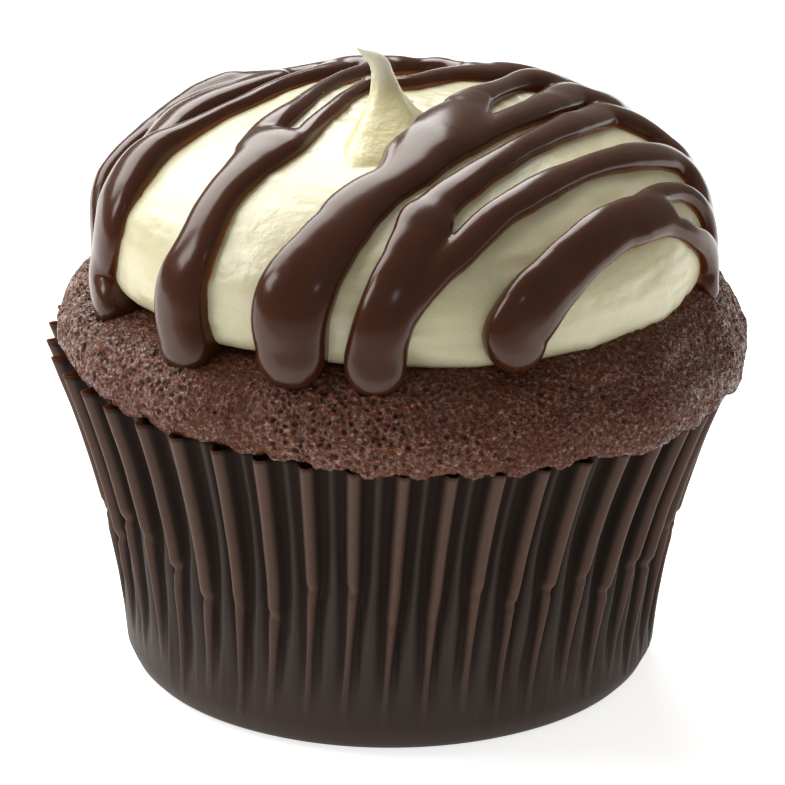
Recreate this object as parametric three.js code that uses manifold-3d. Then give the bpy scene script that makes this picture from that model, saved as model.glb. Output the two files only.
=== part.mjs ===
// Cupcake: a dark cake in a pleated paper case, topped with a dome of white
// frosting that ends in a curled peak, and a zigzag of poured chocolate.
// Millimetres, +Z up. The origin is the centre of the flat base of the case;
// the front of the cake faces -Y.
import * as THREE from 'three';
import Module from 'manifold-3d';
import { mergeVertices } from 'three/addons/utils/BufferGeometryUtils.js';

const wasm = await Module();
wasm.setup();

// ---------------------------------------------------------------- dimensions
// paper case
const CASE_BASE_R = 25.4;      // outer radius of the base, 2 in across
const CASE_RIM_R = 32.9;       // outer radius over the pleats at the rim
const CASE_RIM_Z = 31.4;       // height of the rim above the base
const CASE_RIM_LEAN = -0.052;  // rim height changes by this much per mm of x
const CASE_BOW = 1.3;          // how far the wall curves in between base and rim
const CASE_WALL = 0.5;         // wall, stand-in for thin waxed paper
const CASE_EDGE_R = 2.4;       // rounding between base and wall
const PLEATS = 45;
const PLEAT_START = -102.5;    // direction of one pleat, degrees from the front
const PLEAT_DEPTH = 1.6;       // at the rim
const GAP = 0.3;               // clearance between neighbouring solids

// cake
const CAKE_CX = 1.15, CAKE_CY = -0.3;
const CAKE_R = 32.65;          // radius of the muffin top
const CAKE_WIDE_Z = 34.2;      // height of that radius
const TOP_LEAN = -0.022;       // cake top and frosting lean by this much per mm
const CAKE_AROUND = 48;

// frosting dome
const DOME_CX = 1.44, DOME_CY = 0;
const DOME_R = 28.45;
const DOME_Z = 42.8;           // height of the widest ring
const DOME_H = 12.8;           // rise from there to the top
const DOME_P = 1.92, DOME_Q = 2.56;
const DOME_CONTACT_R = 27.1;   // ring where the frosting meets the cake
const DOME_CONTACT_Z = 39.85;
const DOME_AROUND = 48, DOME_RINGS = 7;

// peak: centre x, y, z and radius of each section, from its foot to its tip
const PEAK = [
  [-1.35, -3.2, 53.2, 4.3], [-1.0, -3.3, 55.2, 3.3], [-0.55, -3.4, 56.9, 2.35],
  [-0.4, -3.5, 58.4, 1.65], [-0.45, -3.5, 59.7, 1.2], [-0.9, -3.5, 60.9, 0.98],
  [-1.7, -3.5, 61.8, 0.75], [-2.5, -3.5, 62.2, 0.42], [-3.1, -3.5, 62.25, 0.2],
];
const PEAK_SIDES = 8;

// chocolate: each strand as [u, v, width] on the unrolled frosting, where u is
// to the right, v to the back and the distance from 0,0 runs down the dome; a
// drip ends in the open, the other strands end inside a neighbour
const STRAND_STEP = 4.8;       // spacing of the sections of a strand
const STRAND_H = 1.65;         // thickness of a strand of ordinary width
const STRAND_LIFT = 0.24;      // extra clearance, as flat facets bridge the curve
const STRANDS = [
  { drip: false, line: [[-1, 16.8, 4.4], [-5, 17.6, 4.4], [-9, 17.6, 4], [-13, 15.3, 4], [-16.5, 12.8, 4.5], [-20, 12, 4.5], [-23.4, 10.4, 4.2], [-25.8, 8, 4], [-28, 5.6, 3.8], [-30, 2.8, 3.6], [-31.8, 0.6, 3.6], [-33.5, -1.4, 3.6], [-35, -4.5, 3.4]] },
  { drip: false, line: [[-12.5, 13.5, 3.5], [-15.8, 11, 4], [-18.3, 9, 4.4], [-20.4, 8.2, 5.4], [-22, 6.2, 5], [-23.2, 3.6, 4], [-24.4, 1, 3.6]] },
  { drip: true, line: [[-2.5, 18, 4], [-5.5, 17, 4], [-7.6, 14, 3.6], [-9.6, 9.8, 3.2], [-11.7, 6.9, 3.1], [-13.6, 4.9, 3.5], [-15.6, 3.1, 3.2], [-17.4, 2, 3.1], [-19.2, 0.2, 3.1], [-21, -1.4, 4.2], [-22.8, -1.8, 5], [-24.4, -2.8, 6.6], [-26.7, -5.9, 6.5], [-29.7, -7.9, 6], [-31.8, -8.6, 6.4], [-34, -10.4, 6.4], [-34.9, -12.8, 6.2], [-34.7, -14, 5.6]] },
  { drip: false, line: [[-2.5, 15, 3.5], [-3.5, 12, 2.6], [-5.2, 10.1, 2.8], [-6.5, 7.3, 2.7], [-8.1, 4.1, 2.7], [-9.7, 0.6, 3], [-10.9, -2.2, 3.6], [-12.2, -4.4, 4], [-13.4, -7, 4.5], [-14.3, -9.5, 4.5]] },
  { drip: false, line: [[-3, 5.4, 2.4], [-4.9, 1.5, 2.4], [-6.2, -1.4, 2.6], [-7.6, -4.2, 3], [-8.8, -6.7, 3], [-10.1, -9.1, 3], [-11.6, -10.2, 3.4], [-13.2, -11.3, 4.4]] },
  { drip: true, line: [[-12.9, -8.6, 6], [-14.3, -11.4, 6], [-15.7, -13.4, 5], [-17.8, -16.3, 4.6], [-19.4, -19.1, 5.2], [-20.5, -20.2, 5.8], [-22.6, -22.3, 7], [-24.2, -24.4, 7.6], [-25.2, -26.6, 7], [-25.3, -27.6, 6.4]] },
  { drip: true, line: [[6.4, -1, 4], [5.4, -3.6, 5.6], [4.7, -6.2, 7], [3.8, -8.8, 8.4], [2.4, -11.2, 8.2], [0.9, -13.7, 6.8], [-0.1, -16.2, 5.2], [-2, -18.1, 5.6], [-4.9, -21.5, 6], [-7.4, -24.8, 6.4], [-9.6, -27.5, 7.1], [-11.3, -30.1, 8.2], [-12.1, -31.7, 8.2], [-12.6, -33.2, 7.4]] },
  { drip: false, line: [[5.4, -2.9, 4.5], [6.6, 0.9, 4], [8.1, 4.7, 3.8], [10, 8.5, 4.2], [12.3, 12.6, 4.6], [14.4, 15.4, 4.6], [16.8, 17.4, 4.6], [19.2, 17.6, 4.4], [20.3, 15.4, 4.4]] },
  { drip: false, line: [[4.6, -9.6, 4], [6.3, -8.4, 3.6], [7.8, -6.3, 4.2], [9.6, -3.7, 4.1], [11.5, -0.7, 4.1], [13.5, 2.7, 4.6], [15.5, 6.3, 5], [17.5, 9.6, 5], [19.4, 12.4, 4.8], [20.6, 15.4, 4.6]] },
  { drip: false, line: [[29, 5.4, 4.2], [27.6, 8.2, 4.2], [25.4, 9.8, 4.4], [23.4, 9.8, 4.5], [21.4, 8, 4.4], [19.2, 4.6, 4.2], [16.7, 0.3, 4.1], [14.3, -3.7, 3.8], [11.9, -7.4, 3.5], [9.8, -10.8, 3.2], [8, -13.2, 3.4], [6.1, -16, 3.4], [4.3, -18.5, 3.6], [2.6, -21.2, 3.9], [1.4, -23, 3.9]] },
  { drip: true, line: [[1.4, -22.6, 4], [1.1, -24.2, 4.4], [-0.3, -27.9, 4.6], [-1.8, -31.2, 5.8], [-3, -34, 6.6], [-3.4, -35.8, 6.2]] },
  { drip: false, line: [[31.2, -1, 3], [30.4, 1.4, 3.6], [29.2, 3.6, 4], [27.4, 3.4, 4.4], [25.2, 0.9, 4.6], [22.5, -2.8, 4], [20, -6.1, 3.8], [17.6, -9, 3.2], [15.1, -12.2, 3.3], [12.8, -14.9, 3.2], [10.4, -18, 2.9], [8.3, -20.7, 2.8], [6.7, -23.1, 2.9], [4.9, -25.5, 2.9], [3.6, -26.8, 2.8], [1.3, -29.8, 2.6], [0.2, -31.4, 3]] },
  { drip: true, line: [[24.4, -12, 3.4], [22.9, -13.8, 4.8], [21, -16.2, 4.8], [18, -20.1, 4.8], [15.1, -24.8, 5], [13.9, -26.7, 5.6], [12.8, -28.3, 6.4], [12.1, -29.6, 7], [11.7, -31.8, 7]] },
  { drip: false, line: [[22.5, -12.9, 2.6], [23.9, -9.8, 2.2], [25.8, -7.1, 2.2], [27.6, -4.6, 2.2], [29.2, -3, 2.4], [31, -2.4, 2.8], [32.8, -2.6, 3], [34.4, -4.2, 3.4]] },
  { drip: true, line: [[22, -16, 3], [24.2, -13.7, 2.8], [26.1, -11.8, 2.6], [28.2, -10.7, 2.6], [30.4, -8.9, 3], [32.6, -6.6, 3.4], [34.4, -5.6, 3.8], [35.6, -6.4, 3.8], [35.8, -8.6, 3.4]] },
  { drip: false, line: [[-2.9, 17.3, 3.4], [-1.6, 16, 3.2], [-0.2, 16.8, 3.2], [1.4, 18.2, 3.2], [3, 18.6, 3.2], [4.8, 17.6, 3], [6.6, 15.6, 3]] },
  { drip: false, line: [[-3.4, 5.6, 2.4], [-1.6, 4.8, 2.4], [-0.4, 5.4, 2.6], [1.2, 6.8, 3.4], [3.1, 8.9, 4], [5, 11.3, 4], [7.4, 14.4, 4.4], [9.8, 17, 4.4], [12.2, 18, 4.2], [14.6, 16.4, 4]] },
  { drip: true, line: [[-5, 17.2, 4.5], [-6.2, 20.5, 4.6], [-7.4, 24.5, 5], [-8.4, 28.6, 5.6], [-9, 32.4, 6.4], [-9.2, 35.4, 6]] },
  { drip: true, line: [[-14.5, 14, 4.2], [-17.6, 17, 4.4], [-20.4, 20.4, 4.8], [-22.6, 23.8, 5.6], [-24.2, 27, 6.2], [-24.6, 28.8, 5.6]] },
  { drip: true, line: [[3.4, 18.2, 4], [4, 21.4, 4], [4.6, 25, 4.6], [5.2, 29, 5.6], [5.6, 33, 6.6], [5.6, 36, 6]] },
  { drip: true, line: [[9.6, 17, 4.4], [12.4, 21, 4.4], [14.6, 25, 4.8], [16.2, 28.8, 5.4], [17, 31.6, 6], [17.2, 33.2, 5.6]] },
  { drip: true, line: [[20.4, 15.4, 4.6], [23, 18.4, 4.6], [25.4, 21.4, 5.2], [27.2, 24.2, 5.8], [28, 26, 5.6]] },
  { drip: true, line: [[27.4, 8.2, 4.4], [30, 10.6, 4.6], [32.4, 12.6, 5.2], [34.2, 14.2, 5.6], [35, 15.2, 5.2]] },
  { drip: true, line: [[-27.8, 6, 3.6], [-30, 9.4, 3.8], [-32.2, 12, 4.4], [-33.6, 13.6, 5], [-34.2, 14.6, 4.6]] },
  { drip: false, line: [[-8, 26.5, 3.6], [-4.4, 24.2, 3.4], [-0.4, 23.6, 3.4], [4.4, 26, 3.6]] },
];

// ------------------------------------------------------------------- helpers
const clamp01 = (x) => Math.min(1, Math.max(0, x));
const lerp = (a, b, t) => a + (b - a) * t;

// A closed skin over a stack of equal rings, each a list of [x, y, z] going
// counter-clockwise seen from +Z when the stack rises; both ends are closed
// with a fan to the given pole point.
function skin(rings, startPole, endPole) {
  const n = rings[0].length;
  const pos = [];
  const idx = [];
  for (const ring of rings) for (const p of ring) pos.push(...p);
  const s = pos.length / 3;
  pos.push(...startPole, ...endPole);
  for (let j = 0; j + 1 < rings.length; j++) {
    for (let i = 0; i < n; i++) {
      const a = j * n + i, b = j * n + (i + 1) % n, c = a + n, d = b + n;
      idx.push(a, b, d, a, d, c);
    }
  }
  const last = (rings.length - 1) * n;
  for (let i = 0; i < n; i++) {
    idx.push(s, (i + 1) % n, i);
    idx.push(s + 1, last + i, last + (i + 1) % n);
  }
  const g = new THREE.BufferGeometry();
  g.setAttribute('position', new THREE.Float32BufferAttribute(pos, 3));
  g.setIndex(idx);
  return g;
}

function solid(geometry) {
  const g = geometry.clone();
  g.deleteAttribute('normal');
  g.deleteAttribute('uv');
  const m = mergeVertices(g, 1e-4);
  return new wasm.Manifold(new wasm.Mesh({
    numProp: 3,
    vertProperties: new Float32Array(m.attributes.position.array),
    triVerts: new Uint32Array(m.index.array),
  }));
}

function unsolid(manifold) {
  const m = manifold.getMesh();
  const pos = new Float32Array(m.numVert * 3);
  for (let i = 0; i < m.numVert; i++) {
    for (let k = 0; k < 3; k++) pos[3 * i + k] = m.vertProperties[m.numProp * i + k];
  }
  const g = new THREE.BufferGeometry();
  g.setAttribute('position', new THREE.BufferAttribute(pos, 3));
  g.setIndex(Array.from(m.triVerts));
  return g;
}

function meshOf(name, geometry, color, roughness) {
  geometry.computeVertexNormals();
  const mesh = new THREE.Mesh(geometry, new THREE.MeshStandardMaterial({ color, roughness, metalness: 0 }));
  mesh.name = name;
  return mesh;
}

// point at angle a (0 faces the front, turning to the right) and radius r
const around = (cx, cy, a, r) => [cx + r * Math.sin(a), cy - r * Math.cos(a)];

// ---------------------------------------------------------------- paper case
const rimZ = (x) => CASE_RIM_Z + CASE_RIM_LEAN * x;
// outer radius over the pleats at height fraction f
const caseR = (f) => lerp(CASE_BASE_R, CASE_RIM_R, f) - CASE_BOW * 4 * f * (1 - f);
// the pleats fade out towards the base
const pleatDepth = (f) => PLEAT_DEPTH * (f < 0.5 ? 0.82 * Math.sin(Math.PI * clamp01((f - 0.05) / 0.45) / 2) : lerp(0.82, 1, (f - 0.5) / 0.5));
const caseInnerR = (f) => caseR(f) - pleatDepth(f) - CASE_WALL;

// one horizontal section: four points for each pleat, two out and two in
function caseRing(f, outer) {
  const ring = [];
  const pitch = 2 * Math.PI / PLEATS;
  const ridge = outer ? 0.15 : 0.1;
  const valley = outer ? 0.31 : 0.26;
  const shrink = outer ? 0 : CASE_WALL;
  const r = caseR(f) - shrink;
  const rIn = r - pleatDepth(f);
  for (let k = 0; k < PLEATS; k++) {
    const a0 = PLEAT_START * Math.PI / 180 + k * pitch;
    for (const [da, rr] of [[-ridge, r], [ridge, r], [valley, rIn], [1 - valley, rIn]]) {
      const [x, y] = around(0, 0, a0 + da * pitch, rr);
      ring.push([x, y, f * rimZ(x)]);
    }
  }
  return ring;
}
const flatRing = (r, z) => caseRing(0, true).map(([x, y]) => [x * r / CASE_BASE_R, y * r / CASE_BASE_R, z]);

function paperCase() {
  const up = [0.1, 0.5, 1];
  const rings = [
    flatRing(CASE_BASE_R - CASE_EDGE_R, 0),
    flatRing(CASE_BASE_R - 0.62, 0.8),
    ...up.map((f) => caseRing(f, true)),
    ...up.slice().reverse().map((f) => caseRing(f, false)),
    flatRing(CASE_BASE_R - CASE_EDGE_R - 0.4, CASE_WALL),
  ];
  return skin(rings, [0, 0, 0], [0, 0, CASE_WALL]);
}

// ---------------------------------------------------------------------- cake
// top of the cake under the frosting, and the underside of the frosting above
const seatZ = (r) => 39.5 + 1.6 * (1 - (r / DOME_CONTACT_R) ** 2);
const lean = (x) => TOP_LEAN * (x - DOME_CX);

function cakeBody() {
  const rings = [];
  const angles = Array.from({ length: CAKE_AROUND }, (_, i) => 2 * Math.PI * i / CAKE_AROUND);
  // inside the case
  const inside = (f) => angles.map((a) => {
    const [x, y] = around(0, 0, a, caseInnerR(f) - GAP - 0.05);
    return [x, y, f * rimZ(x)];
  });
  rings.push(angles.map((a) => [...around(0, 0, a, 22), CASE_WALL + GAP]));
  rings.push(inside(0.15), inside(0.5));
  // up to the rim, which is higher on the left than on the right
  rings.push(angles.map((a) => {
    const [x, y] = around(0, 0, a, caseInnerR(1) - GAP - 0.05);
    return [x, y, rimZ(x * 1.06) + GAP + 0.05];
  }));
  // lip over the rim, then the rounded edge up to the frosting
  const edge = (r, z, low) => angles.map((a) => {
    const [x, y] = around(CAKE_CX, CAKE_CY, a, r);
    const rim = rimZ(x * 1.04) + GAP + 0.1;
    const zz = z + lean(x);
    return [x, y, low ? Math.max(rim, Math.min(zz, rim + 1.4)) : zz];
  });
  rings.push(edge(32.2, 31.3, true));
  rings.push(edge(CAKE_R, CAKE_WIDE_Z, false));
  rings.push(edge(32.1, 35.7, false));
  rings.push(edge(30.6, 37.6, false));
  const top = (r) => angles.map((a) => {
    const [x, y] = around(DOME_CX, DOME_CY, a, r);
    return [x, y, seatZ(r) + lean(x)];
  });
  rings.push(top(27.9), top(18), top(9));
  return skin(rings, [0, 0, CASE_WALL + GAP], [DOME_CX, DOME_CY, seatZ(0)]);
}

// ------------------------------------------------------------------ frosting
const domeR = (w) => DOME_R * (1 - w ** DOME_Q) ** (1 / DOME_P);
const domeZ = (w) => DOME_Z + DOME_H * w;

function frostingDome(grow) {
  const angles = Array.from({ length: DOME_AROUND }, (_, i) => 2 * Math.PI * i / DOME_AROUND);
  const ring = (r, z) => angles.map((a) => {
    const [x, y] = around(DOME_CX, DOME_CY, a, r);
    return [x, y, z + lean(x)];
  });
  const rings = [];
  rings.push(ring(9, seatZ(9) + GAP - grow), ring(18, seatZ(18) + GAP - grow));
  rings.push(ring(DOME_CONTACT_R - 0.7, seatZ(DOME_CONTACT_R - 0.7) + GAP - grow));
  rings.push(ring(DOME_CONTACT_R + grow, DOME_CONTACT_Z + 0.25));
  rings.push(ring(DOME_R - 0.35 + grow, DOME_Z - 1.4));
  for (let k = 0; k < DOME_RINGS; k++) {
    const t = k / DOME_RINGS;
    const w = Math.sin(Math.PI / 2 * t);
    rings.push(ring(Math.max(domeR(w), 0) + grow * (1 - t), domeZ(w) + grow * t));
  }
  return skin(rings, [DOME_CX, DOME_CY, seatZ(0) + GAP - grow], [DOME_CX, DOME_CY, DOME_Z + DOME_H + grow]);
}

// the curled peak, sections square to its centre line
function peakSkin(grow) {
  const centre = new THREE.CatmullRomCurve3(PEAK.map(([x, y, z]) => new THREE.Vector3(x, y, z)));
  const rings = [];
  const n = PEAK.length;
  for (let k = 0; k < n; k++) {
    const [x, y, z, r] = PEAK[k];
    const t = centre.getTangent(k / (n - 1));
    const side = new THREE.Vector3(0, 1, 0);
    const b = new THREE.Vector3().crossVectors(side, t).normalize();
    rings.push(Array.from({ length: PEAK_SIDES }, (_, i) => {
      const a = 2 * Math.PI * i / PEAK_SIDES;
      const rr = r + grow;
      return [
        x + rr * (b.x * Math.cos(a) + side.x * Math.sin(a)),
        y + rr * (b.y * Math.cos(a) + side.y * Math.sin(a)),
        z + rr * (b.z * Math.cos(a) + side.z * Math.sin(a)),
      ];
    }));
  }
  const end = centre.getTangent(1).multiplyScalar(0.15 + grow);
  const [sx, sy, sz] = PEAK[0];
  const [ex, ey, ez] = PEAK[n - 1];
  return skin(rings, [sx, sy, sz - 0.4], [ex + end.x, ey + end.y, ez + end.z]);
}

// ----------------------------------------------------------------- chocolate
// profile that the strands lie on: the dome, then a smooth run-out over the
// edge of the cake; distance s from the top, radius r, height z
const LIE = (() => {
  const pts = [];
  for (let k = 0; k <= 60; k++) {
    const w = Math.cos(Math.PI / 2 * k / 60);
    pts.push([domeR(w), domeZ(w)]);
  }
  pts.push([28.5, 42], [28.6, 41.1], [28.9, 40.2], [29.5, 39.35], [30.4, 38.45], [31.4, 37.3], [32.2, 36.1], [32.9, 34.6]);
  let s = 0;
  return pts.map(([r, z], k) => {
    if (k) s += Math.hypot(r - pts[k - 1][0], z - pts[k - 1][1]);
    return [s, r, z];
  });
})();

// point over the unrolled position u, v at height t off the surface
function over(u, v, t) {
  const s = Math.hypot(u, v);
  let k = 1;
  while (k < LIE.length - 1 && LIE[k][0] < s) k++;
  const [s0, r0, z0] = LIE[k - 1];
  const [s1, r1, z1] = LIE[k];
  const f = (s - s0) / (s1 - s0);
  const a = LIE[Math.max(0, k - 2)];
  const b = LIE[Math.min(LIE.length - 1, k + 1)];
  const l = Math.hypot(b[1] - a[1], b[2] - a[2]);
  const nr = -(b[2] - a[2]) / l;
  const nz = (b[1] - a[1]) / l;
  const r = lerp(r0, r1, f) + t * nr;
  const z = lerp(z0, z1, f) + t * nz;
  const x = DOME_CX + (s > 1e-6 ? u / s : 0) * r;
  const y = DOME_CY + (s > 1e-6 ? v / s : 1) * r;
  return [x, y, z + lean(x)];
}
const lieR = (s) => {
  let k = 1;
  while (k < LIE.length - 1 && LIE[k][0] < s) k++;
  return lerp(LIE[k - 1][1], LIE[k][1], (s - LIE[k - 1][0]) / (LIE[k][0] - LIE[k - 1][0]));
};

function strand({ drip, line: points }) {
  const curve = new THREE.CatmullRomCurve3(points.map(([u, v, w]) => new THREE.Vector3(u, v, w)), false, 'centripetal');
  const wide = Math.max(...points.map((p) => p[2])) > 6;
  const count = Math.max(4, Math.round(curve.getLength() / (STRAND_STEP * (wide ? 0.8 : 1))));
  const stations = [];
  for (let k = 0; k <= count; k++) stations.push([curve.getPoint(k / count), curve.getTangent(k / count), 1]);
  // rounded ends
  const cap = (p, t, dir, full) => {
    const w = p.z;
    return (full ? [[0.3, 0.84, 0.93], [0.48, 0.45, 0.72]] : [[0.36, 0.66, 0.85]]).map(([d, s, h]) => {
      const q = p.clone();
      q.x += dir * t.x * d * w;
      q.y += dir * t.y * d * w;
      q.z = w * s;
      return [q, t, h];
    });
  };
  const flat = (t) => new THREE.Vector3(t.x, t.y, 0).normalize();
  const head = cap(stations[0][0], flat(stations[0][1]), -1, false).reverse();
  const tail = cap(stations[count][0], flat(stations[count][1]), 1, drip);
  const all = [...head, ...stations, ...tail];
  const rings = all.map(([p, tan, h]) => {
    const t = flat(tan);
    const s = Math.hypot(p.x, p.y);
    const k = s > 1 ? s / lieR(s) : 1;
    const er = s > 1e-6 ? [p.x / s, p.y / s] : [0, 1];
    const n = [-t.y, t.x];
    const nr = n[0] * er[0] + n[1] * er[1];
    const nt = -n[0] * er[1] + n[1] * er[0];
    const off = [er[0] * nr - er[1] * nt * k, er[1] * nr + er[0] * nt * k];
    const half = p.z / 2;
    const height = h * STRAND_H * (0.78 + 0.055 * p.z);
    return [
      [-0.8, 0], [0, 0.09], [0.8, 0], [1, 0.34], [0.52, 0.94], [-0.52, 0.94], [-1, 0.34],
    ].map(([b, q]) => over(p.x + off[0] * b * half, p.y + off[1] * b * half, GAP + STRAND_LIFT + q * height));
  });
  const mid = (ring) => ring.reduce((m, p) => [m[0] + p[0] / ring.length, m[1] + p[1] / ring.length, m[2] + p[2] / ring.length], [0, 0, 0]);
  return skin(rings, mid(rings[0]), mid(rings[rings.length - 1]));
}

// ------------------------------------------------------------------ assembly
const frosting = solid(frostingDome(0)).add(solid(peakSkin(0)));
let chocolate = null;
for (const each of STRANDS) {
  const piece = solid(strand(each));
  chocolate = chocolate ? chocolate.add(piece) : piece;
}
chocolate = chocolate.subtract(solid(peakSkin(GAP)));

const group = new THREE.Group();
group.add(meshOf('paper_case', paperCase(), 0x4a2c1c, 0.45));
group.add(meshOf('cake', cakeBody(), 0x3a1c12, 0.85));
group.add(meshOf('frosting', unsolid(frosting), 0xefead2, 0.4));
group.add(meshOf('chocolate_drizzle', unsolid(chocolate), 0x2b120a, 0.15));

export default group;
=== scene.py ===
import math
import bpy
import numpy as np
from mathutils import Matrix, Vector


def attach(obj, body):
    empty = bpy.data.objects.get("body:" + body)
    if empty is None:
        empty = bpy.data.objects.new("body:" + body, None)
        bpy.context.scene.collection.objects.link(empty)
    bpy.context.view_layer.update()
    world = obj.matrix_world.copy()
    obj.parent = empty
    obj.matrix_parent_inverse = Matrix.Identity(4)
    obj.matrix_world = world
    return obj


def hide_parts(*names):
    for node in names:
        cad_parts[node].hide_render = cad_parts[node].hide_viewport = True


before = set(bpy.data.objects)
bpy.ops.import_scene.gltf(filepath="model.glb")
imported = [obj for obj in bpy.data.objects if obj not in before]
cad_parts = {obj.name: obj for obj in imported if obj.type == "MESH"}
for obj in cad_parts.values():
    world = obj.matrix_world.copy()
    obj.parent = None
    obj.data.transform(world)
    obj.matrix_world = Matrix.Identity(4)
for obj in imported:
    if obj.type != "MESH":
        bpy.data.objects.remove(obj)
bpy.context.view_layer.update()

MM = 0.001

# ------------------------------------------------------------------ dimensions (mm)
PLEATS = 45
PLEAT_START = math.radians(-102.5)
BASE_R, RIM_R, RIM_Z, RIM_LEAN, BOW = 25.4, 32.86, 31.4, -0.052, 1.3
CAKE_C = (1.15, -0.3)
DOME_C = (1.44, 0.0)
DOME_R, DOME_Z, DOME_H, DOME_P, DOME_Q = 28.45, 42.8, 12.8, 1.92, 2.56
LEAN = -0.022

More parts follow.
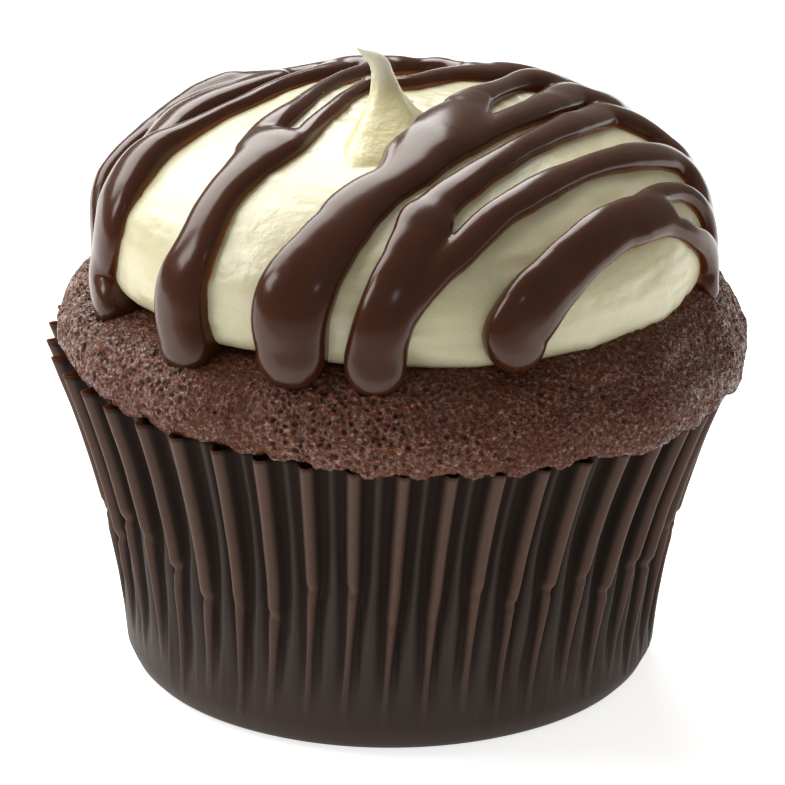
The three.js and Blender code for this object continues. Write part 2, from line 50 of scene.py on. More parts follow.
# poured strands on the unrolled dome: u right, v back, width
STRANDS = [
    [(-1, 16.8, 4.4), (-2.7, 17.1, 4.4), (-4.4, 17.4, 4.3), (-6.1, 17.6, 4.3), (-7.8, 17.5, 4.1), (-9.5, 17.2, 4), (-11, 16.5, 4), (-12.5, 15.6, 4), (-13.9, 14.6, 4.1), (-15.4, 13.7, 4.3), (-16.9, 12.9, 4.4), (-18.5, 12.3, 4.5), (-20.1, 11.8, 4.4), (-21.7, 11.2, 4.4), (-23.2, 10.3, 4.2), (-24.5, 9.2, 4.1), (-25.8, 8, 4), (-26.9, 6.7, 3.9), (-28, 5.4, 3.8), (-29.1, 4, 3.7), (-30.1, 2.6, 3.6), (-31.2, 1.3, 3.6), (-32.3, 0, 3.6), (-33.4, -1.4, 3.6), (-34.2, -2.9, 3.5), (-35, -4.5, 3.4)],
    [(-12.5, 13.5, 3.5), (-13.9, 12.4, 3.7), (-15.3, 11.3, 3.9), (-16.8, 10.2, 4.2), (-18.2, 9.3, 4.6), (-19.7, 8.3, 4.9), (-21, 7.2, 5), (-22, 5.8, 4.7), (-22.9, 4.3, 4.3), (-23.6, 2.6, 3.9), (-24.4, 1, 3.6)],
    [(-2.7, 17.9, 4), (-4.3, 17.2, 4), (-5.7, 16.3, 3.8), (-6.8, 15.2, 3.6), (-7.7, 14, 3.1), (-8.7, 12.8, 2.5), (-9.7, 11.6, 2.1), (-10.8, 10.3, 2), (-11.8, 8.9, 1.9), (-12.8, 7.5, 2), (-13.9, 6.1, 2), (-15, 4.8, 2), (-16.3, 3.7, 1.9), (-17.7, 2.6, 1.9), (-19, 1.4, 2.1), (-20.4, 0.3, 2.4), (-21.7, -0.6, 3.1), (-23.2, -1.4, 4), (-24.6, -2.3, 5), (-25.8, -3.4, 5.7), (-27.1, -4.7, 6.1), (-28.3, -5.8, 6.3), (-29.5, -7.1, 6.2), (-30.9, -8, 6), (-32.5, -8.3, 5.6), (-34.1, -8.1, 5), (-35.5, -8.5, 4.4), (-36.1, -9.9, 4.3), (-36.5, -11.6, 4.6)],
    [(-2.6, 14.9, 3.4), (-2.9, 15.1, 2.5), (-3.4, 14.5, 1.9), (-4.2, 13.1, 1.7), (-5, 11.6, 1.6), (-5.9, 10, 1.6), (-6.7, 8.4, 1.6), (-7.5, 6.7, 1.7), (-8.2, 5.1, 1.7), (-8.9, 3.4, 1.9), (-9.6, 1.7, 2.1), (-10.3, 0.1, 2.3), (-11.1, -1.5, 2.5), (-12, -3.1, 2.8), (-12.9, -4.7, 3.2), (-13.6, -6.4, 3.4), (-14.2, -8.1, 3.5)],
    [(-2.7, 8, 1.4), (-3.5, 6.4, 1.4), (-4.3, 4.8, 1.5), (-5, 3.2, 1.6), (-5.8, 1.5, 1.7), (-6.4, -0.2, 1.8), (-7.1, -1.8, 1.9), (-7.9, -3.5, 2), (-8.6, -5.1, 2.1), (-9.3, -6.8, 2.1), (-10.1, -8.4, 2.2), (-11.3, -9.6, 2.6), (-12.8, -10.6, 3.3)],
    [(-12.4, -8.3, 6), (-13.4, -9.8, 5.5), (-14.4, -11.3, 5), (-15.4, -12.7, 4.5), (-16.5, -14.1, 4.2), (-17.5, -15.6, 4.1), (-18.4, -17.1, 4.2), (-19.3, -18.7, 4.3), (-20.3, -20.1, 4.6), (-21.5, -21.4, 5.1), (-22.9, -22.5, 5.5), (-24.1, -23.8, 5.8), (-25.1, -25.3, 5.8), (-25.7, -26.9, 5.7)],
    [(6.6, 1.2, 2.9), (6, -0.5, 4), (5.4, -2.2, 5.1), (4.9, -3.9, 6.1), (4.3, -5.7, 6.9), (3.6, -7.4, 7.3), (2.8, -8.9, 7.3), (1.9, -10.5, 6.9), (1.1, -12.1, 6.3), (0.5, -13.8, 5.6), (-0.3, -15.4, 5.1), (-1.4, -16.9, 5), (-2.7, -18.1, 5.2), (-3.9, -19.5, 5.4), (-5, -20.9, 5.6), (-5.9, -22.5, 5.8), (-7, -23.9, 6.1), (-8.1, -25.4, 6.4), (-9.3, -26.8, 6.8), (-10.4, -28.2, 7.1), (-11.4, -29.6, 7.2), (-12.2, -31.2, 7), (-12.7, -33, 6.5)],
    [(5.5, -0.1, 4), (6.2, 1.6, 3.7), (6.9, 3.2, 3.4), (7.7, 4.8, 3), (8.5, 6.3, 2.7), (9.3, 7.9, 2.5), (10.1, 9.5, 2.5), (10.8, 10.9, 2.8), (11.4, 11.9, 3.2), (12, 12.6, 3.8), (12.7, 13.4, 4.3), (13.8, 14.5, 4.5), (15, 15.7, 4.6), (16.4, 16.7, 4.6), (17.8, 17, 4.5), (19.1, 16.6, 4.4), (20.2, 15.6, 4.4)],
    [(5.2, -9.1, 3.3), (6.3, -7.8, 3), (7.3, -6.3, 3), (8.2, -4.8, 3.1), (9.1, -3.4, 3.1), (10.1, -1.9, 3.1), (11, -0.4, 3.1), (11.9, 1.1, 3.2), (12.7, 2.6, 3.3), (13.4, 4.2, 3.5), (14.1, 5.8, 3.8), (14.7, 7.5, 4.1), (15.3, 9.1, 4.3), (15.9, 10.5, 4.3), (16.5, 11.5, 4.3), (17.2, 11.6, 4.3), (17.7, 11.2, 4.5), (18.3, 11.3, 4.7), (19.1, 12.2, 4.7), (19.8, 13.6, 4.7), (20.5, 15.2, 4.6)],
    [(28.9, 5.6, 4.2), (28, 7.1, 4.2), (26.9, 8.3, 4.3), (25.5, 9.1, 4.4), (24, 9.3, 4.4), (22.6, 8.9, 4.4), (21.3, 8.2, 4.2), (20.3, 7.8, 4), (19.5, 7.5, 3.7), (18.9, 6.6, 3.5), (18.3, 5.1, 3.4), (17.6, 3.5, 3.3), (16.8, 1.9, 3.2), (15.9, 0.4, 3.2), (15.1, -1.2, 3.1), (14.2, -2.8, 3), (13.3, -4.3, 2.9), (12.4, -5.9, 2.9), (11.5, -7.4, 2.8), (10.5, -8.9, 2.7), (9.6, -10.4, 2.7), (8.6, -11.9, 2.9), (7.5, -13.4, 3), (6.5, -14.8, 3.1), (5.5, -16.3, 3.2), (4.4, -17.7, 3.3), (3.4, -19.2, 3.5), (2.5, -20.7, 3.9), (1.8, -22.4, 4.3)],
    [(1.8, -22.1, 4.9), (1.3, -23.9, 5), (0.6, -25.5, 5), (0, -27.2, 5), (-0.8, -28.9, 5.1), (-1.5, -30.6, 5.3), (-2.2, -32.2, 5.5), (-2.9, -33.9, 5.6), (-3.4, -35.7, 5.7)],
    [(31.1, -0.8, 3.1), (30.5, 0.8, 3.5), (29.7, 2.1, 3.8), (28.6, 3, 4), (27.5, 3.2, 3.9), (26.6, 2.8, 3.7), (25.6, 1.9, 3.5), (24.6, 0.6, 3.4), (23.6, -0.7, 3.3), (22.5, -2.1, 3.3), (21.4, -3.5, 3.2), (20.4, -4.9, 3), (19.3, -6.3, 2.9), (18.2, -7.7, 2.8), (17.2, -9, 2.8), (16.1, -10.4, 2.8), (15, -11.8, 2.9), (13.9, -13.2, 2.9), (12.9, -14.6, 3), (11.8, -16, 3), (10.8, -17.4, 3), (9.7, -18.7, 3), (8.6, -20.1, 3.1), (7.6, -21.5, 3.2), (6.6, -23, 3.2), (5.6, -24.5, 3.1), (4.6, -25.8, 3), (3.4, -27.1, 2.8), (2.3, -28.5, 2.7), (1.2, -29.8, 2.7), (0.1, -31.2, 2.7)],
    [(24.8, -11.1, 3.5), (23.6, -12.5, 4.2), (22.4, -13.9, 4.7), (21.2, -15.5, 4.9), (20, -16.9, 4.9), (18.9, -18.5, 4.9), (17.9, -20.1, 4.8), (16.9, -21.7, 4.7), (15.9, -23.3, 4.7), (15, -24.9, 4.9), (14, -26.5, 5.3), (13, -28.1, 5.8), (12.2, -29.8, 6.1), (11.6, -31.6, 6.1)],
    [(22.9, -11.5, 2.7), (23.6, -9.8, 2.4), (24.5, -8.1, 2.2), (25.5, -6.6, 2.1), (26.6, -5.2, 2), (27.9, -4, 2.1), (29.5, -3.1, 2.4), (31.2, -2.8, 2.7), (32.8, -3.1, 3), (34.3, -4, 3.3)],
    [(22.7, -15, 3), (23.8, -13.7, 2.9), (25, -12.4, 2.7), (26.4, -11.3, 2.5), (27.9, -10.3, 2.4), (29.4, -9.3, 2.4), (30.7, -8.1, 2.6), (31.9, -7.1, 2.9), (33.1, -6.4, 3.2), (34.4, -6.2, 3.1), (35.5, -7.1, 2.6)],
    [(-2.9, 17.3, 3.4), (-1.4, 17, 3.3), (0.2, 17.3, 3.2), (1.9, 17.7, 3.2), (3.6, 17.7, 3.1), (5.1, 16.9, 3), (6.6, 15.6, 3)],
    [(-3.6, 6.8, 1.4), (-2.1, 6.5, 1.5), (-0.6, 6.7, 1.6), (0.8, 7.6, 1.8), (1.9, 8.9, 2), (3, 10.3, 2.3), (4, 11.6, 2.6), (5.1, 12.6, 3.1), (6.2, 13.5, 3.7), (7.3, 14.4, 4.1), (8.5, 15.6, 4.3), (9.9, 16.6, 4.3), (11.4, 17.2, 4.3), (12.9, 17.1, 4.1), (14.4, 16.5, 4)],
    [(-5, 17.2, 4.5), (-6.2, 20.5, 4.6), (-7.4, 24.5, 5), (-8.4, 28.6, 5.6), (-9, 32.4, 6.4), (-9.2, 35.4, 6)],
    [(-14.5, 14, 4.2), (-17.6, 17, 4.4), (-20.4, 20.4, 4.8), (-22.6, 23.8, 5.6), (-24.2, 27, 6.2), (-24.6, 28.8, 5.6)],
    [(3.4, 18.2, 4), (4, 21.4, 4), (4.6, 25, 4.6), (5.2, 29, 5.6), (5.6, 33, 6.6), (5.6, 36, 6)],
    [(9.6, 17, 4.4), (12.4, 21, 4.4), (14.6, 25, 4.8), (16.2, 28.8, 5.4), (17, 31.6, 6), (17.2, 33.2, 5.6)],
    [(20.4, 15.4, 4.6), (23, 18.4, 4.6), (25.4, 21.4, 5.2), (27.2, 24.2, 5.8), (28, 26, 5.6)],
    [(27.4, 8.2, 4.4), (30, 10.6, 4.6), (32.4, 12.6, 5.2), (34.2, 14.2, 5.6), (35, 15.2, 5.2)],
    [(-18.6, 17.6, 3.6), (-22.4, 18.4, 3.6), (-26.2, 19.6, 4.2), (-29.4, 21.0, 4.8), (-30.8, 21.8, 4.4)],
    [(-8, 26.5, 3.6), (-4.4, 24.2, 3.4), (-0.4, 23.6, 3.4), (4.4, 26, 3.6)],
]


# ------------------------------------------------------------------ noise
def hash01(ix, iy, iz, seed):
    n = (ix.astype(np.int64) * 73856093) ^ (iy.astype(np.int64) * 19349663) ^ (iz.astype(np.int64) * 83492791) ^ (seed * 2654435761)
    n = n & 0xFFFFFFFF
    n = ((n ^ (n >> 15)) * 0x2C1B3C6D) & 0xFFFFFFFF
    n = ((n ^ (n >> 12)) * 0x297A2D39) & 0xFFFFFFFF
    n = n ^ (n >> 15)
    return n.astype(np.float64) / 4294967296.0


def vnoise(p, seed=0):
    i = np.floor(p).astype(np.int64)
    f = p - i
    f = f * f * f * (f * (f * 6 - 15) + 10)
    out = np.zeros(p.shape[:-1])
    for dx in (0, 1):
        wx = f[..., 0] if dx else 1 - f[..., 0]
        for dy in (0, 1):
            wy = f[..., 1] if dy else 1 - f[..., 1]
            for dz in (0, 1):
                wz = f[..., 2] if dz else 1 - f[..., 2]
                out += wx * wy * wz * hash01(i[..., 0] + dx, i[..., 1] + dy, i[..., 2] + dz, seed)
    return out * 2 - 1


def fbm(p, octaves=3, seed=0, gain=0.5):
    a, s, out = 1.0, 1.0, 0.0
    for k in range(octaves):
        out = out + a * vnoise(p * s + 17.3 * k, seed + k)
        a *= gain
        s *= 2.03
    return out


def worley(p, seed=0):
    """distance to the nearest point, the second nearest, and a number for the nearest"""
    i = np.floor(p).astype(np.int64)
    f1 = np.full(p.shape[:-1], 9.0)
    f2 = np.full(p.shape[:-1], 9.0)
    who = np.zeros(p.shape[:-1])
    for dx in (-1, 0, 1):
        for dy in (-1, 0, 1):
            for dz in (-1, 0, 1):
                cx, cy, cz = i[..., 0] + dx, i[..., 1] + dy, i[..., 2] + dz
                q = np.stack([cx + hash01(cx, cy, cz, seed), cy + hash01(cx, cy, cz, seed + 1), cz + hash01(cx, cy, cz, seed + 2)], -1)
                d = np.linalg.norm(q - p, axis=-1)
                near = d < f1
                f2 = np.where(near, f1, np.minimum(f2, d))
                who = np.where(near, hash01(cx, cy, cz, seed + 3), who)
                f1 = np.where(near, d, f1)
    return f1, f2, who


def sstep(a, b, x):
    t = np.clip((x - a) / (b - a), 0, 1)
    return t * t * (3 - 2 * t)


# ------------------------------------------------------------------ mesh helpers
def make(name, verts_mm, faces, material, smooth=True, attrs=None):
    me = bpy.data.meshes.new(name)
    me.from_pydata((np.asarray(verts_mm) * MM).tolist(), [], faces.tolist() if hasattr(faces, "tolist") else faces)
    me.update()
    if smooth:
        me.polygons.foreach_set("use_smooth", [True] * len(me.polygons))
    for key, values in (attrs or {}).items():
        a = me.attributes.new(key, "FLOAT", "POINT")
        a.data.foreach_set("value", np.asarray(values, dtype=np.float32))
    o = bpy.data.objects.new(name, me)
    bpy.context.scene.collection.objects.link(o)
    for m in (material if isinstance(material, (list, tuple)) else [material]):
        me.materials.append(m)
    return o


def grid_faces(rows, cols, wrap=True, flip=False):
    j = np.arange(rows - 1)[:, None]
    i = np.arange(cols if wrap else cols - 1)[None, :]
    a = j * cols + i
    b = j * cols + (i + 1) % cols
    c, d = b + cols, a + cols
    f = np.stack([a, b, c, d] if not flip else [a, d, c, b], -1).reshape(-1, 4)
    return f


def normals_of(P, wrap=True):
    """unit normals of a grid of points, rows going outwards or down, columns counter-clockwise"""
    dr = np.gradient(P, axis=0)
    dc = np.roll(P, -1, axis=1) - np.roll(P, 1, axis=1) if wrap else np.gradient(P, axis=1)
    n = np.cross(dr, dc)
    return n / np.maximum(np.linalg.norm(n, axis=-1, keepdims=True), 1e-12)


# ------------------------------------------------------------------ profiles
def dome_profile(n=400):
    t = np.linspace(0, 1, n)
    w = np.cos(t * np.pi / 2)
    return DOME_R * (1 - w ** DOME_Q) ** (1 / DOME_P), DOME_Z + DOME_H * w


def resample(r, z, step):
    s = np.r_[0, np.cumsum(np.hypot(np.diff(r), np.diff(z)))]
    q = np.arange(0, s[-1], step)
    return q, np.interp(q, s, r), np.interp(q, s, z)


_r, _z = dome_profile()
# what the chocolate lies on: the dome, then straight down, where the drips hang
_rr = np.r_[_r, 28.47, 28.54, 28.62, 28.64, 28.45, 28.0]
_zz = np.r_[_z, 41.8, 40.8, 39.8, 38.8, 37.4, 34.0]
LS, LR, LZ = resample(_rr, _zz, 0.1)


def soften(a, sigma):
    """gaussian along the profile, with its ends held"""
    n = int(sigma * 30)
    k = np.exp(-0.5 * (np.arange(-n, n + 1) / (sigma * 10)) ** 2)
    k /= k.sum()
    left = 2 * a[0] - a[n:0:-1]
    right = 2 * a[-1] - a[-2:-n - 2:-1]
    return np.convolve(np.r_[left, a, right], k, mode="valid")


LNR = soften(-np.gradient(LZ, LS), 0.35)
LNZ = soften(np.gradient(LR, LS), 0.35)
_l = np.hypot(LNR, LNZ)
LNR, LNZ = LNR / _l, LNZ / _l


def lean(x):
    return LEAN * (x - DOME_C[0])


def over(u, v, t):
    s = np.hypot(u, v)
    c = u / np.maximum(s, 1e-9)
    d = v / np.maximum(s, 1e-9)
    r = np.interp(s, LS, LR) + t * np.interp(s, LS, LNR)
    z = np.interp(s, LS, LZ) + t * np.interp(s, LS, LNZ)
    x = DOME_C[0] + r * c
    y = DOME_C[1] + r * d
    return np.stack([x, y, z + lean(x)], -1)


# ------------------------------------------------------------------ materials
def new_material(name):
    m = bpy.data.materials.new(name)
    m.use_nodes = True
    nt = m.node_tree
    nt.nodes.clear()
    out = nt.nodes.new("ShaderNodeOutputMaterial")
    bsdf = nt.nodes.new("ShaderNodeBsdfPrincipled")
    nt.links.new(bsdf.outputs[0], out.inputs[0])
    return m, nt, bsdf


def node(nt, kind, **values):
    n = nt.nodes.new(kind)
    for k, v in values.items():
        if k in n.inputs:
            n.inputs[k].default_value = v
        else:
            setattr(n, k, v)
    return n


def ramp(nt, stops, fac=None, interpolation="LINEAR"):
    n = nt.nodes.new("ShaderNodeValToRGB")
    n.color_ramp.interpolation = interpolation
    while len(n.color_ramp.elements) < len(stops):
        n.color_ramp.elements.new(0.5)
    for e, (pos, col) in zip(n.color_ramp.elements, stops):
        e.position = pos
        e.color = (*col, 1) if len(col) == 3 else col
    if fac is not None:
        nt.links.new(fac, n.inputs[0])
    return n


def position(nt, scale=1.0):
    """object coordinates, in mm"""
    t = nt.nodes.new("ShaderNodeTexCoord")
    m = node(nt, "ShaderNodeVectorMath", operation="SCALE")
    m.inputs["Scale"].default_value = scale / MM
    nt.links.new(t.outputs["Object"], m.inputs[0])
    return m.outputs[0]


def noise(nt, co, scale, detail=3.0, rough=0.5):
    n = node(nt, "ShaderNodeTexNoise", Scale=scale, Detail=detail, Roughness=rough)
    nt.links.new(co, n.inputs["Vector"])
    return n.outputs["Fac"]


def mix(nt, fac, a, b, blend="MIX"):
    n = nt.nodes.new("ShaderNodeMix")
    n.data_type = "RGBA"
    n.blend_type = blend
    if isinstance(fac, (int, float)):
        n.inputs[0].default_value = fac
    else:
        nt.links.new(fac, n.inputs[0])
    for sock, val in ((n.inputs[6], a), (n.inputs[7], b)):
        if isinstance(val, tuple):
            sock.default_value = (*val, 1)
        else:
            nt.links.new(val, sock)
    return n.outputs[2]


def math_node(nt, op, a, b=None, clamp=False):
    n = nt.nodes.new("ShaderNodeMath")
    n.operation = op
    n.use_clamp = clamp
    for k, val in enumerate((a, b)):
        if val is None:
            continue
        if isinstance(val, (int, float)):
            n.inputs[k].default_value = val
        else:
            nt.links.new(val, n.inputs[k])
    return n.outputs[0]


def bump(nt, bsdf, height, strength, distance_mm):
    b = node(nt, "ShaderNodeBump", Strength=strength, Distance=distance_mm * MM)
    nt.links.new(height, b.inputs["Height"])
    nt.links.new(b.outputs[0], bsdf.inputs["Normal"])
    return b


def attribute(nt, name):
    a = node(nt, "ShaderNodeAttribute", attribute_name=name)
    return a.outputs["Fac"]


def frosting_material():
    m, nt, b = new_material("frosting_ivory")
    co = position(nt)
    patch = noise(nt, co, 0.16, 3, 0.55)
    col = ramp(nt, [(0.3, (0.695, 0.648, 0.408)), (0.55, (0.725, 0.682, 0.447)), (0.75, (0.762, 0.722, 0.507))], patch)
    # painted shade: the peak and its foot are painted darker and yellower, as the side turned from the lamps
    pk_shade = attribute(nt, "peak_shade")
    c2 = mix(nt, pk_shade, col.outputs[0], (0.80, 0.715, 0.385))
    # painted light: the tip is painted paler, as if lit through
    c2 = mix(nt, attribute(nt, "tip"), c2, (0.92, 0.90, 0.80))
    nt.links.new(c2, b.inputs["Base Color"])
    b.inputs["Roughness"].default_value = 0.34
    b.inputs["Specular IOR Level"].default_value = 0.85
    # the painted-shade mark of the peak also takes most of the subsurface scattering off its foot
    soft = math_node(nt, "ADD", math_node(nt, "MULTIPLY", pk_shade, -0.53), 0.5, clamp=True)
    nt.links.new(soft, b.inputs["Subsurface Weight"])
    b.inputs["Subsurface Radius"].default_value = (1.0, 0.8, 0.45)
    b.inputs["Subsurface Scale"].default_value = 2.0 * MM
    fine = noise(nt, co, 1.7, 4, 0.6)
    broad = noise(nt, co, 0.55, 3, 0.55)
    bump(nt, b, math_node(nt, "ADD", broad, math_node(nt, "MULTIPLY", fine, 0.5)), 0.38, 0.34)
    return m


def chocolate_material():
    m, nt, b = new_material("chocolate_glaze")
    co = position(nt)
    thick = attribute(nt, "thick")
    var = noise(nt, co, 0.35, 2, 0.5)
    t2 = math_node(nt, "ADD", thick, math_node(nt, "MULTIPLY", math_node(nt, "SUBTRACT", var, 0.5), 0.12))
    col = ramp(nt, [(0.0, (0.34, 0.10, 0.014)), (0.07, (0.20, 0.050, 0.009)), (0.17, (0.074, 0.0190, 0.0060)), (0.7, (0.058, 0.0158, 0.0058))], t2)
    nt.links.new(col.outputs[0], b.inputs["Base Color"])
    b.inputs["Roughness"].default_value = 0.2
    b.inputs["Specular IOR Level"].default_value = 0.46
    b.inputs["Specular Tint"].default_value = (1.0, 0.92, 0.86, 1)
    b.inputs["IOR"].default_value = 1.46
    b.inputs["Subsurface Weight"].default_value = 0.12
    b.inputs["Subsurface Radius"].default_value = (1.0, 0.3, 0.1)
    b.inputs["Subsurface Scale"].default_value = 0.8 * MM
    fine = noise(nt, co, 0.9, 3, 0.5)
    bump(nt, b, fine, 0.12, 0.08)
    return m


def cake_material():
    m, nt, b = new_material("chocolate_crumb")
    co = position(nt)
    pit = attribute(nt, "pit")
    low = attribute(nt, "low")
    tone_and_glint = noise(nt, co, 2.2, 4, 0.65)
    patch = noise(nt, co, 0.25, 3, 0.5)
    # the lower stops give the crumb's random tone; the top stop paints pale glints into the colour, a painted
    # highlight
    base = ramp(nt, [(0.3, (0.082, 0.0200, 0.0080)), (0.5, (0.165, 0.046, 0.0195)), (0.59, (0.26, 0.088, 0.045)), (0.66, (0.60, 0.36, 0.27))], tone_and_glint)
    tint = mix(nt, math_node(nt, "MULTIPLY", patch, 0.5), base.outputs[0], (0.135, 0.038, 0.017))
    # painted shade: the pit mark paints the hollows of the crumb dark
    painted_shade = mix(nt, pit, tint, (0.026, 0.0065, 0.003))
    warm = mix(nt, 0.6, painted_shade, (0.125, 0.036, 0.012))
    edge = mix(nt, low, painted_shade, warm)
    open_and_lit_side = attribute(nt, "open")
    # painted shade: the right side, turned from the lamps, is painted darker
    right_shade = math_node(nt, "ADD", math_node(nt, "MULTIPLY", open_and_lit_side, -0.36), 0.36)
    edge = mix(nt, right_shade, edge, (0.042, 0.0100, 0.0040))
    nt.links.new(edge, b.inputs["Base Color"])
    wet = noise(nt, co, 2.4, 3, 0.6)
    rough = ramp(nt, [(0.44, (0.12, 0.12, 0.12)), (0.56, (0.62, 0.62, 0.62))], wet)
    nt.links.new(rough.outputs[0], b.inputs["Roughness"])
    b.inputs["Specular IOR Level"].default_value = 0.26
    b.inputs["Specular Tint"].default_value = (1.0, 0.93, 0.86, 1)
    shift = math_node(nt, "ADD", math_node(nt, "MULTIPLY", open_and_lit_side, 0.10), -0.04)
    spot = ramp(nt, [(0.53, (0, 0, 0)), (0.61, (1, 1, 1))], math_node(nt, "ADD", noise(nt, co, 2.6, 2, 0.5), shift))
    nt.links.new(spot.outputs[0], b.inputs["Coat Weight"])
    b.inputs["Coat Roughness"].default_value = 0.15
    b.inputs["Coat IOR"].default_value = 1.6
    f1 = noise(nt, co, 2.3, 3, 0.6)
    f2 = noise(nt, co, 5.0, 2, 0.55)
    h = math_node(nt, "ADD", f1, math_node(nt, "MULTIPLY", f2, 0.5))
    grain = bump(nt, b, h, 1.0, 0.4)
    nt.links.new(grain.outputs[0], b.inputs["Coat Normal"])
    return m


def paper_material(inside):
    m, nt, b = new_material("paper_inside_painted_lit" if inside else "paper_brown")
    co = position(nt)
    ridge = attribute(nt, "ridge")
    wall_shade = attribute(nt, "wall_shade")
    fibre = noise(nt, co, 0.8, 4, 0.6)
    if inside:
        # painted light: the inside of the case is painted a bright orange-brown, as if lit, far lighter than the
        # outside of the same paper
        col = ramp(nt, [(0.3, (0.27, 0.082, 0.024)), (0.7, (0.42, 0.145, 0.045))], fibre)
        nt.links.new(col.outputs[0], b.inputs["Base Color"])
        b.inputs["Roughness"].default_value = 0.6
    else:
        # painted light and shade: ridge tops painted lighter brown, valleys a greyish painted sheen, groove walls
        # painted near black as shade
        c = mix(nt, ridge, (0.046, 0.0350, 0.0280), (0.100, 0.054, 0.040))
        c = mix(nt, wall_shade, c, (0.018, 0.0115, 0.0085))
        c = mix(nt, math_node(nt, "MULTIPLY", fibre, 0.35), c, (0.03, 0.016, 0.012))
        nt.links.new(c, b.inputs["Base Color"])
        rough = math_node(nt, "ADD", math_node(nt, "MULTIPLY", wall_shade, 0.45), 0.43)
        nt.links.new(rough, b.inputs["Roughness"])
        b.inputs["Specular IOR Level"].default_value = 0.12
    grain = noise(nt, co, 3.0, 3, 0.6)
    bump(nt, b, grain, 0.15, 0.05)
    return m


# ------------------------------------------------------------------ paper case
def rim_z(x):
    return RIM_Z + RIM_LEAN * x


def case_r(f):
    return BASE_R + (RIM_R - BASE_R) * f - BOW * 4 * f * (1 - f)


def pleat_table():
    k = np.arange(PLEATS)
    h = lambda s: hash01(k, k * 0, k * 0, s)
    return {
        "kink": 13.4 + 4.6 * h(3),
        "shift": (h(4) - 0.5) * 0.06,
        "below": (h(5) - 0.5) * 0.24,
        "wide": 0.090 + 0.028 * (h(6) - 0.5),
        "deep": 1.0 + 0.16 * (h(7) - 0.5),
        "fade": 1.2 + 3.8 * h(8),
        "pinch": 0.15 + 0.38 * h(9),
        "slant": (h(10) - 0.5) * 1.0,
        "left": h(11) < 0.5,
    }


PL = pleat_table()
PHASES = np.array([-0.5, -0.45, -0.40, -0.36, -0.32, -0.285, -0.255, -0.225, -0.20, -0.175, -0.15, -0.125, -0.10, -0.07, -0.035,
                   0.0, 0.035, 0.07, 0.10, 0.125, 0.15, 0.175, 0.20, 0.225, 0.255, 0.285, 0.32, 0.36, 0.40, 0.45])


def case_surface(zf, inset=0.0):
    """points of the case at height fractions zf, a painted-light mask for the ridge tops and a painted-shade mask for
    the groove walls
    """
    k = np.repeat(np.arange(PLEATS), len(PHASES))
    ph = np.tile(PHASES, PLEATS)
    pitch = 2 * np.pi / PLEATS
    a = PLEAT_START + (k + ph) * pitch
    f = zf[:, None]
    z = f * RIM_Z
    kink = PL["kink"][k][None, :] + PL["slant"][k][None, :] * ph[None, :] * 6
    dz = z - kink
    # the pleats lean a little: going down they drift to the left of the front
    a = a[None, :] + 0.0018 * (z - 30.0) - 0.0012 * np.clip(18.0 - z, 0, 18) + 0.012
    below = 1 - sstep(-1.2, 1.0, dz)
    slow = 1 - sstep(-6.5, 4.0, dz)
    centre = PL["shift"][k][None, :] * sstep(4, 30, z) + PL["below"][k][None, :] * np.clip((kink - z) / 15.0, 0, 1)
    centre = centre + 0.02 * np.where(PL["left"][k][None, :], -1, 1) * np.exp(-((dz + 0.1) / 0.7) ** 2) * PL["pinch"][k][None, :]
    q = ph[None, :] - centre
    wide = PL["wide"][k][None, :] * (1 - 0.22 * slow - 0.06 * below)
    soft = 0.19 - 0.11 * slow
    d = np.abs(q)
    ridge = 1 - sstep(0, 1, (d - wide) / soft)
    valley = sstep(wide + soft, 0.5, d)
    depth = 1.85 * PL["deep"][k][None, :]
    depth = depth * (0.62 + 0.38 * sstep(8, 24, z))
    depth = depth * (1 - 0.24 * slow - 0.06 * below) * sstep(0.0, 1.0, (z - PL["fade"][k][None, :]) / 7.5)
    pinch = np.exp(-((dz - 0.3) / 0.55) ** 2) * PL["pinch"][k][None, :]
    fold = np.exp(-((dz + 1.0) / 0.6) ** 2) * 0.25 * PL["pinch"][k][None, :]
    top = ridge * (1 - 0.75 * pinch) - fold * ridge
    bulge = (0.12 + 0.40 * sstep(24, 8, z)) * valley ** 1.2
    height = -depth * (1 - top - bulge * (1 - ridge))
    # creases that run down from each kink
    crease = np.exp(-((q - np.where(PL["left"][k][None, :], -1, 1) * (0.17 + 0.012 * (kink - z))) / 0.03) ** 2) * below * sstep(4, 9, z)
    height = height - 0.16 * crease - 0.20 * np.clip(d / wide, 0, 1.3) ** 2 * ridge * sstep(3.0, 15.0, z)
    p = np.stack([np.sin(a), -np.cos(a), z / 30.0 * np.ones_like(a)], -1)
    height = height + 0.05 * fbm(p * 7.0, 2, 31) * sstep(1, 8, z)
    r = case_r(f) + height - inset
    x = r * np.sin(a)
    y = -r * np.cos(a)
    # painted light and shade: ridge tops painted lighter, groove walls painted dark as shade, a painted sheen strip
    # left down the middle of each valley
    lit = sstep(0.5, 1.0, ridge)
    clear = sstep(0.40 - 0.20 * sstep(25, 6, z), 0.51 - 0.13 * sstep(25, 6, z), d)
    painted_shade = (1 - lit) * (1 - clear) * sstep(3.0, 12.0, z) * (1 - 0.2 * slow)
    # painted shade: the bottom band is painted evenly darker towards the bottom, its ridges no lighter than the rest
    plain = sstep(14.0, 1.0, z)
    lit = lit * (1 - plain) + 0.16 * plain
    painted_shade = painted_shade + 0.28 * plain * (1 - painted_shade)
    return np.stack([x, y, f * rim_z(x) + 0 * x], -1), lit, painted_shade


